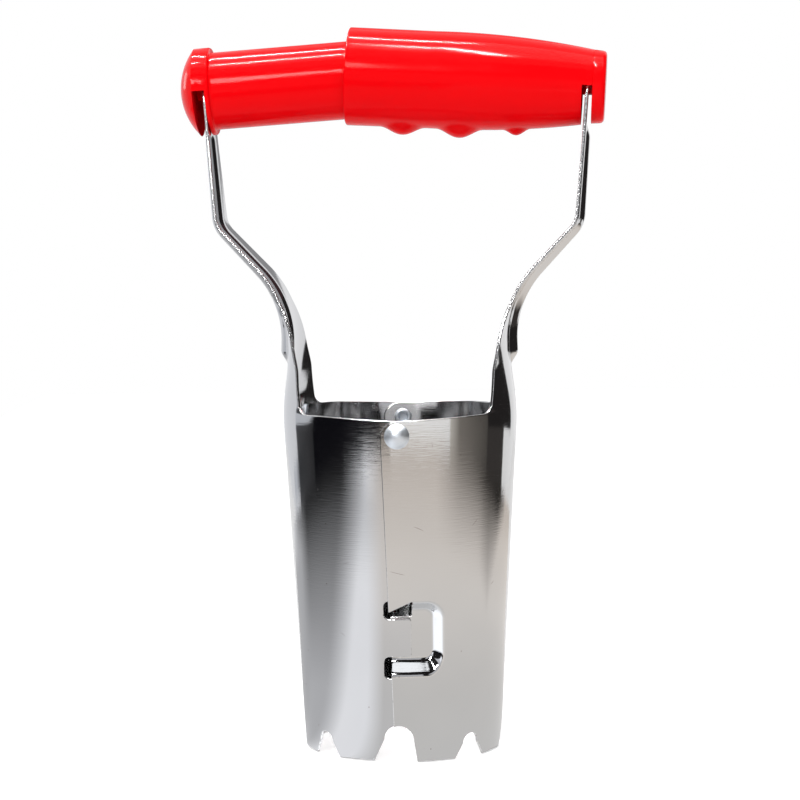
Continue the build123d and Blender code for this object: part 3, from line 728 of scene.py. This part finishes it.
tube_inside = tube_gap + bulkhead
tube = turned("tube", rounded_line([
    (0, -tube_face, 0), (collar_radius, -tube_face, 0), (collar_radius, collar_front, 0.6),
    (tube_radius, collar_front, 0.35), (tube_radius, collar_front + 1, 0), (tube_radius, tube_step - 1, 0),
    (tube_radius, tube_step, 0.15), (tube_slim, tube_step, 0),
    (tube_slim, tube_end, 0.4), (tube_bore, tube_end, 0.3), (tube_bore, tube_inside, 0.5),
    (spigot_radius, tube_inside, 0.3), (spigot_radius, tube_inside + spigot_length, 0.4),
    (0, tube_inside + spigot_length, 0)]), 96)
cut_arm_recess(tube, tube_face, tube_gap)
tube.data.transform(tube_place)
smooth(tube)

red, shader, nodes = new_finish("red_plastic")
own = nodes.own()
flow = nodes.noise(own, 45, 3)
red_tone = nodes.mix(flow, (0.86, 0.001, 0.003, 1), (0.95, 0.002, 0.005, 1))
marks = nodes.add("Group", {0: own}, None, node_tree=handling_marks)
scuffed = nodes.mix(marks["Scratches"], red_tone, (0.86, 0.06, 0.06, 1))
gloss = nodes.spread(nodes.noise(own, 220, 3), 0, 1, 0.06, 0.14)
skin = nodes.add("Bump", {"Strength": 1.0, "Distance": 0.00001, "Height": flow})
nodes.feed(shader, {"Base Color": scuffed, "Roughness": gloss, "Normal": skin, "Specular IOR Level": 0.06})
# Painted shade: the recess's red is darker than the outside red, as well as matt and without gloss.
red_recess_shaded = clouded_finish("red_plastic_recess_painted_shade", 300, 3, (0.62, 0.002, 0.006), (0.78, 0.004, 0.010),
                            0.55, 0.8, **{"Specular IOR Level": 0.0})


def red_finish(piece, place, skin_radius, face, gap):
    """Red outside, and in the recess round the arm's end the duller red of the mould's core, painted darker
    there as shade.
    """
    piece.data.materials.append(red)
    piece.data.materials.append(red_recess_shaded)
    slack, skin_depth = 0.05, 0.3
    own_place = place.inverted()
    for polygon in piece.data.polygons:
        centre = own_place @ polygon.center
        inside = -face - slack < centre.z / MM < gap + slack
        if inside and hypot(centre.x, centre.y) / MM < skin_radius - skin_depth:
            polygon.material_index = 1


red_finish(tube, tube_place, collar_radius, tube_face, tube_gap)
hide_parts("left_grip")
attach(tube, "left_half")

# Sleeve. The right grip, of the same red plastic: widest at its mouth, where the tube slides in, tapering to
# the right arm, with three finger bumps moulded below. Its end has the same recess for the arm.
sleeve_face, sleeve_gap = 2.0, 1.0
sleeve_end_radius, sleeve_middle_radius, sleeve_mouth_radius = 10.85, 14.3, 14.45
sleeve_middle, sleeve_crown, mouth_round = 45.0, 1.1, 0.5
sleeve_bore, sleeve_wall, sleeve_end_wall = 13.05, 1.4, 0.85
finger_bumps = ((53.6, 7.0, 2.2), (36.7, 7.0, 2.4), (19.8, 3.6, 1.7))     # place, radius, height
bump_blend = 1.3       # the bumps run out into the sleeve this much wider than a ball would
sleeve_inside = sleeve_gap + bulkhead


def sleeve_radius(place):
    straight = np.interp(place, (-sleeve_face, sleeve_middle, sleeve_length),
                         (sleeve_end_radius, sleeve_middle_radius, sleeve_mouth_radius))
    share = min((place + sleeve_face) / (sleeve_middle + sleeve_face), 1.0)
    return straight + 4 * sleeve_crown * share * (1 - share)


sleeve_line = [(0, -sleeve_face)]
sleeve_line += [(sleeve_radius(place), place)
                for place in np.linspace(-sleeve_face, sleeve_length - mouth_round, 96)]
sleeve_line += [(sleeve_mouth_radius - mouth_round * (1 - cos(t)),
                 sleeve_length - mouth_round * (1 - sin(t))) for t in np.linspace(0.3, pi / 2, 5)]
sleeve_line += [(0, sleeve_length)]
sleeve = turned("sleeve", sleeve_line, 160)
for vertex in sleeve.data.vertices:
    radius = hypot(vertex.co.x, vertex.co.y)
    if radius < 0.9 * sleeve_end_radius * MM:
        continue
    round_below = radius * atan2(vertex.co.y, -vertex.co.x) / MM
    swell = 0.0
    for place, bump_radius, bump_height in finger_bumps:
        spread = bump_blend * sqrt(bump_height * (2 * bump_radius - bump_height))
        away = hypot(vertex.co.z / MM - place, round_below) / spread
        swell += bump_height * max(0.0, 1 - away * away) ** 2
    vertex.co.x *= 1 + swell * MM / radius
    vertex.co.y *= 1 + swell * MM / radius
cut(sleeve, turned("bore_cutter", rounded_line([
    (0, sleeve_inside + spigot_length, 0), (spigot_radius, sleeve_inside + spigot_length, 0.4),
    (spigot_radius, sleeve_inside, 0), (sleeve_end_radius - sleeve_end_wall, sleeve_inside, 0.5),
    (sleeve_middle_radius - sleeve_wall, sleeve_middle, 0), (sleeve_bore, sleeve_length, 0),
    (sleeve_bore, sleeve_length + 2, 0), (0, sleeve_length + 2, 0)]), 128))
cut_arm_recess(sleeve, sleeve_face, sleeve_gap)
sleeve.data.transform(sleeve_place)
smooth(sleeve)
red_finish(sleeve, sleeve_place, sleeve_end_radius, sleeve_face, sleeve_gap)
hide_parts("right_grip")
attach(sleeve, "right_half")

# End caps. Two red plugs that close the grips' ends over the arms: a shallow dome on the tube's collar, and a
# short plug that carries on the sleeve's taper. Each has a peg through the arm's hole into the bulkhead.
cap_dome, cap_length, cap_draft, cap_round = 5.0, 3.8, 0.3, 1.2
dome_line = [(radius, drop - tube_face - cap_dome)
             for radius, drop in dome_points(collar_radius, cap_dome, 0, 28)]
peg_line = [(peg_radius, peg_length, 0.5), (0, peg_length, 0)]
left_cap = turned("left_cap", dome_line + rounded_line(
    [(collar_radius, -tube_face, 0), (peg_radius, -tube_face, 0)] + peg_line)[1:], 96)
left_cap.data.transform(tube_place)
right_cap = turned("right_cap", rounded_line(
    [(0, -sleeve_face - cap_length, 0), (sleeve_end_radius - cap_draft, -sleeve_face - cap_length, cap_round),
     (sleeve_end_radius, -sleeve_face, 0.15), (peg_radius, -sleeve_face, 0)] + peg_line), 96)
right_cap.data.transform(sleeve_place)
red_finish(left_cap, tube_place, collar_radius, tube_face, tube_gap)
red_finish(right_cap, sleeve_place, sleeve_end_radius, sleeve_face, sleeve_gap)
for cap, node, body in ((left_cap, "left_end_cap", "left_half"), (right_cap, "right_end_cap", "right_half")):
    smooth(cap)
    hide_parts(node)
    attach(cap, body)

# Return spring. A drawn steel wire wound into thirteen turns, between the two bulkheads inside the handle.
# It isn't seen. It bends with the handle at rest; the real one shortens between the two halves when they are
# squeezed, but this one stays as it is at rest.
spring_radius, wire_radius, spring_turns, spring_end_gap = 5.3, 0.6, 13, 0.5
seat_gap = spring_end_gap + wire_radius
left_seat = tube_place @ Vector((0, 0, (tube_inside + seat_gap) * MM))
right_seat = sleeve_place @ Vector((0, 0, (sleeve_inside + seat_gap) * MM))
spring_length = (right_seat - left_seat).length
leave = tube_place.to_3x3().col[2] * spring_length
arrive = -sleeve_place.to_3x3().col[2] * spring_length


def spring_axis(share):
    rest = 1 - share
    near = left_seat * (rest * rest * (1 + 2 * share)) + leave * (share * rest * rest)
    return near + right_seat * (share * share * (1 + 2 * rest)) - arrive * (share * share * rest)


spring = started("spring", bpy.ops.mesh.primitive_circle_add, vertices=12, radius=wire_radius * MM,
                 rotation=(pi / 2, 0, 0), location=(spring_radius * MM, 0, 0))
bpy.ops.object.transform_apply()
winding = spring.modifiers.new("winding", "SCREW")
winding.axis, winding.iterations = "Z", spring_turns
winding.screw_offset = spring_length / spring_turns
winding.steps = winding.render_steps = 32
bpy.ops.object.modifier_apply(modifier="winding")
bpy.ops.object.mode_set(mode="EDIT")
bpy.ops.mesh.select_all(action="DESELECT")
bpy.ops.mesh.select_non_manifold()
bpy.ops.mesh.edge_face_add()
bpy.ops.mesh.select_all(action="SELECT")
bpy.ops.mesh.normals_make_consistent(inside=False)
bpy.ops.object.mode_set(mode="OBJECT")
nudge = 0.001
for vertex in spring.data.vertices:
    share = vertex.co.z / spring_length
    axis = (spring_axis(share + nudge) - spring_axis(share - nudge)).normalized()
    level = Vector((0, 0, 1)).cross(axis).normalized()
    vertex.co = spring_axis(share) + level * vertex.co.x + axis.cross(level) * vertex.co.y
smooth(spring, 60)
wire = clouded_finish("spring_wire", 700, 2, (0.42, 0.42, 0.43), (0.58, 0.58, 0.58), 0.22, 0.4, Metallic=1.0)
spring.data.materials.append(wire)
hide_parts("return_spring")
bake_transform(spring)

# Studio: a pale table top that ends a little way off in front and to the left, a white surround, soft lamps
# overhead and in front, and cards that only reflections see, so that the plating has something to mirror.
table_edge = ((-0.33, 1.4), (-0.33, 0.30), (-0.32, 0.055), (-0.375, -0.266), (-0.247, -0.397),
              (-0.07, -0.475), (-0.16, -1.5), (1.2, -1.5), (1.2, -1.0), (0.345, -0.29), (0.345, 1.4))
table_drop = 0.0002
seen_lift, mirrored_lift = 0.5, 0.10
floor = started("floor", bpy.ops.mesh.primitive_circle_add, vertices=len(table_edge), radius=1,
                fill_type="NGON")
for vertex, (x, y) in zip(floor.data.vertices, table_edge):
    vertex.co = (x, y, -table_drop)
floor.data.update()
floor_finish, shader, nodes = new_finish("floor")
path = nodes.add("LightPath", out=None)
mirrored = nodes.maths("MULTIPLY", path["Is Glossy Ray"], mirrored_lift)
looked_at = nodes.maths("ADD", path["Is Camera Ray"], path["Is Transmission Ray"], use_clamp=True)
floor_lift = nodes.maths("MULTIPLY_ADD", looked_at, seen_lift, mirrored)
nodes.feed(shader, {"Base Color": (0.8, 0.8, 0.8, 1), "Roughness": 0.6, "Specular IOR Level": 0.0,
                    "Emission Color": (1, 1, 1, 1), "Emission Strength": floor_lift})
floor.data.materials.append(floor_finish)


def show_in_reflections(panel, finish, glow):
    """Gives a card its glow, and hides it from all but reflections."""
    finish.node_tree.links.new(glow, finish.node_tree.nodes["Material Output"].inputs["Surface"])
    panel.data.materials.append(finish)
    panel.visible_camera = panel.visible_diffuse = panel.visible_shadow = False
    panel.visible_transmission = panel.visible_volume_scatter = False


def card(name, start, end, low, high, place, tone):
    """A card for reflections between two bearings, in degrees to the right from the front.
    It reaches from low to high. Place gives a point's distance and height, and tone its colour."""
    panel = started(name, bpy.ops.mesh.primitive_grid_add, x_subdivisions=40, y_subdivisions=16, size=2)
    tones = panel.data.attributes.new("tone", "FLOAT_COLOR", "POINT")
    for vertex, shade in zip(panel.data.vertices, tones.data):
        bearing = start + (end - start) * (vertex.co.x + 1) / 2
        reach = low + (high - low) * (vertex.co.y + 1) / 2
        distance, height = place(reach)
        turn = radians(bearing)
        shade.color = (*tone(bearing, reach), 1)
        vertex.co = (distance * sin(turn), -distance * cos(turn), height)
    finish, shader, nodes = new_finish(name)
    finish.cycles.emission_sampling = "NONE"
    tone_here = nodes.add("Attribute", out="Color", attribute_name="tone")
    show_in_reflections(panel, finish, nodes.add("Emission", {"Color": tone_here}))


def flag(name, start, end, distance, low, high, first, last=None):
    """A curved upright card, its tone running from first to last."""
    tones = list(zip(first, last or first))
    card(name, start, end, low, high, lambda height: (distance, height),
         lambda bearing, height: [np.interp(bearing, (start, end), pair) for pair in tones])


def board(name, start, end, near, far, tone):
    """A card flat on the table: tone gives its colour for a bearing and a distance."""
    lift = 0.0004
    card(name, start, end, near, far, lambda distance: (distance, lift), tone)


def ramp(value, start, run):
    """How far a value has come along a run, from 0 to 1."""
    return np.clip((value - start) / run, 0, 1)


def right_table(bearing, distance):
    """Warm and light, with a painted soft shadow that reaches in from the stand at the right."""
    turns = (60, 86, 100, 116, 130, 136)
    start = np.interp(bearing, turns, (0.28, 0.28, 0.20, 0.325, 0.42, 0.60))
    run = np.interp(bearing, turns, (0.21, 0.20, 0.26, 0.10, 0.09, 0.09))
    depth = np.interp(bearing, (36, 60, 93), (0.0, 0.66, 0.95))
    level = np.interp(distance, (0.10, 0.22, 0.36, 0.46), (0.78, 0.93, 0.86, 0.70))
    # Painted shadow of the stand, darkening the card beyond a border that changes with the bearing.
    level *= 1 - depth * ramp(distance, start, run)
    warmth = distance / 0.36
    return level, level * (1 - 0.075 * warmth), level * (1 - 0.14 * warmth)


def left_table(bearing, distance):
    """Light in front, in shade towards the left, half light again at the side, and warm beside the seam."""
    shade = 0.03 + 0.62 * ramp(-distance, -0.42, 0.32)
    in_front = ramp(bearing + 83 * (0.36 - distance), -64, 30) ** 1.5
    at_side = ramp(-bearing, 111, 17)
    far_side = 0.65 * ramp(-bearing, 128, 20) * ramp(distance, 0.33, 0.1)
    side = 0.58 - 0.33 * ramp(distance, 0.36, 0.09) + far_side
    front = np.interp(distance, (0.10, 0.24, 0.34, 0.40, 0.455), (1.18, 1.16, 0.84, 0.95, 1.75))
    level = shade + (side - shade) * at_side
    level += (front - level) * in_front
    cool = (level * 0.985, level * 0.99, level * 1.015)
    near_seam = ramp(bearing, -33, 16)
    return [left + (right - left) * near_seam for left, right in zip(cool, right_table(bearing, distance))]


def left_step(bearing, distance):
    """A pale ledge beyond the table's left side, which falls into shade towards the front."""
    level = 0.05 + 0.57 * ramp(-bearing, 119, 8)
    return level, level * 1.03, level * 1.10


near_black, soft_black = (0.006, 0.006, 0.008), (0.012, 0.011, 0.011)
light_brown, mid_brown = (0.68, 0.65, 0.60), (0.22, 0.20, 0.18)
flag("dark_room", -93, -5, 0.75, -0.8, 0.07, near_black)
flag("dim_left", -122, -93, 0.75, -0.8, 0.02, (0.09, 0.09, 0.095), (0.03, 0.03, 0.032))
flag("light_left", -122, -93, 0.75, 0.02, 0.35, (0.66, 0.68, 0.72))
flag("dark_wall", -88, 101, 0.77, 0.07, 1.0, soft_black)
flag("grey_band", -42, 24, 0.76, 0.07, 0.36, (0.56, 0.56, 0.58))
flag("bright_band", -38, -14, 0.75, 0.07, 0.22, (0.98, 0.98, 1.02))
flag("warm_room", -5, 50, 0.80, -0.8, 0.07, (0.72, 0.70, 0.66), light_brown)
flag("brown_edge", 50, 61, 0.80, -0.8, 0.07, light_brown, mid_brown)
flag("brown_room", 61, 99, 0.80, -0.8, 0.07, mid_brown, (0.08, 0.073, 0.067))
flag("dark_stand", 96, 124, 0.78, -0.8, 0.0, (0.05, 0.045, 0.043))
flag("dark_screen", 96, 141, 0.78, 0.0, 0.45, (0.022, 0.020, 0.020))
flag("dark_corner", 98, 141, 0.78, 0.45, 1.6, (0.055, 0.030, 0.033))
flag("pale_left", -170, -122, 0.85, -0.8, 1.0, (0.85, 0.86, 0.89))
flag("pale_right", 128, 170, 0.85, -0.8, 1.0, (0.97, 0.97, 0.98))
flag("dark_behind", 170, 190, 0.85, -0.8, 0.8, (0.30, 0.30, 0.31))
board("left_table", -150, -17, 0.02, 0.455, left_table)
board("left_step", -134, -104, 0.49, 0.60, left_step)
board("right_table", -17, 150, 0.03, 0.49, right_table)


def strip(name, strength, *corners):
    """A bright strip with four given corners, seen only in reflections."""
    band = started(name, bpy.ops.mesh.primitive_plane_add, size=1)
    for vertex, corner in zip(band.data.vertices, corners):
        vertex.co = corner
    finish, shader, nodes = new_finish(name)
    show_in_reflections(band, finish, nodes.add("Emission", {"Strength": strength}))


strip("rear_strip", 160, (-0.60, 0.60, 1.5), (0.07, 0.14, 1.5), (-0.60, 0.70, 1.5), (0.07, 0.20, 1.5))
strip("side_strip", 280, (-0.60, -0.27, 1.5), (-0.22, -0.19, 1.5), (-0.60, -0.22, 1.5), (-0.22, -0.14, 1.5))
strip("front_strip", 280, (-0.06, -0.22, 1.5), (0.09, -0.60, 1.5), (-0.03, -0.20, 1.5), (0.17, -0.56, 1.5))
strip("front_soft", 36, (-0.285, -0.68, 0.36), (-0.15, -0.68, 0.53),
      (-0.285, -0.68, 0.66), (-0.15, -0.68, 0.61))
strip("lip_soft", 50, (-0.125, -0.68, 0.44), (-0.104, -0.68, 0.44),
      (-0.125, -0.68, 0.60), (-0.104, -0.68, 0.60))
strip("dome_soft", 5, (-0.647, 0.470, 0.22), (-0.555, 0.575, 0.22),
      (-0.647, 0.470, 0.36), (-0.555, 0.575, 0.36))


def lamp(name, place, aim, size, power):
    data = bpy.data.lights.new(name, "AREA")
    data.shape = "RECTANGLE"
    data.size, data.size_y = size
    data.energy = power
    light = bpy.data.objects.new(name, data)
    bpy.context.collection.objects.link(light)
    light.location = place
    light.rotation_euler = (Vector(aim) - Vector(place)).to_track_quat("-Z", "Y").to_euler()
    return light


lamp("overhead", (0.0, -0.10, 1.6), (0, 0, 0.1), (1.6, 1.0), 12.0)
lamp("key", (-0.3, -1.2, 1.0), (0, 0, 0.12), (0.9, 0.6), 9.0).visible_glossy = False

world = bpy.data.worlds.new("studio")
bpy.context.scene.world = world
world.use_nodes = True
nodes = Nodes(world.node_tree)
path = nodes.add("LightPath", out=None)
shown = nodes.maths("ADD", path["Is Glossy Ray"], path["Is Transmission Ray"], use_clamp=True)
seen = nodes.maths("ADD", path["Is Camera Ray"], shown, use_clamp=True)
level = nodes.spread(seen, 0, 1, 0.62, 1.0)
nodes.feed(world.node_tree.nodes["Background"], {"Color": (1, 1, 1, 1), "Strength": level})

# Camera: a long lens at the height of the arms, looking a little down. The tool stands turned and leaning
# a little in the picture, so the camera is turned and leaned the other way round it.
picture_width, focal_pixels, sensor_width = 800, 2713, 36
camera_distance, camera_height, camera_dip = 0.808, 0.167, 4.5
tool_lean, tool_turn, lean_height = -0.65, -1.6, 0.1
camera_data = bpy.data.cameras.new("camera")
camera_data.lens = focal_pixels / picture_width * sensor_width
camera_data.sensor_width = sensor_width
camera_data.clip_start, camera_data.clip_end = 0.05, 20
camera = bpy.data.objects.new("camera", camera_data)
bpy.context.collection.objects.link(camera)
lean_centre = Matrix.Translation((0, 0, lean_height))
turned_tool = (lean_centre @ Matrix.Rotation(radians(tool_lean), 4, "Y") @ lean_centre.inverted()
               @ Matrix.Rotation(radians(tool_turn), 4, "Z"))
stand = (Matrix.Translation((0, -camera_distance, camera_height))
         @ Matrix.Rotation(radians(90 - camera_dip), 4, "X"))
camera.matrix_world = turned_tool.inverted() @ stand
bpy.context.scene.camera = camera
bpy.context.scene.view_settings.view_transform = "Standard"
